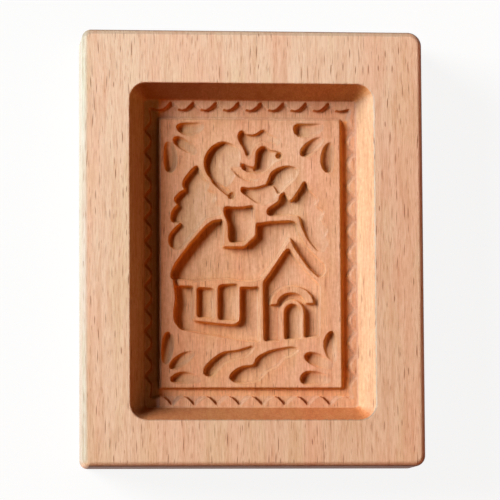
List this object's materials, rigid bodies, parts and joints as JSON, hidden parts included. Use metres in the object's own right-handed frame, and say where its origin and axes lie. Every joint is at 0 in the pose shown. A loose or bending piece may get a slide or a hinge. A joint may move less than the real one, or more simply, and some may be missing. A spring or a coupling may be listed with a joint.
{
  "type": "cookie mould",
  "caption": "Rectangular wooden cookie mould: a solid board with a sloping-walled hollow, a scalloped border and a sunken cottage picture.",
  "frame": {"origin": "centre of the rectangle that bounds the board, on the plane of its flat back", "axes": "+Z out of the carved face, +Y towards the top of the picture, +X to its right"},
  "size_m": [0.094, 0.12, 0.018],
  "materials": {
    "beech": "bare beech, sanded on the rim and sides, with fine cutter marks in the hollow"
  },
  "bodies": {
    "root": {"mould_block": "beech"}
  },
  "joints": []
}
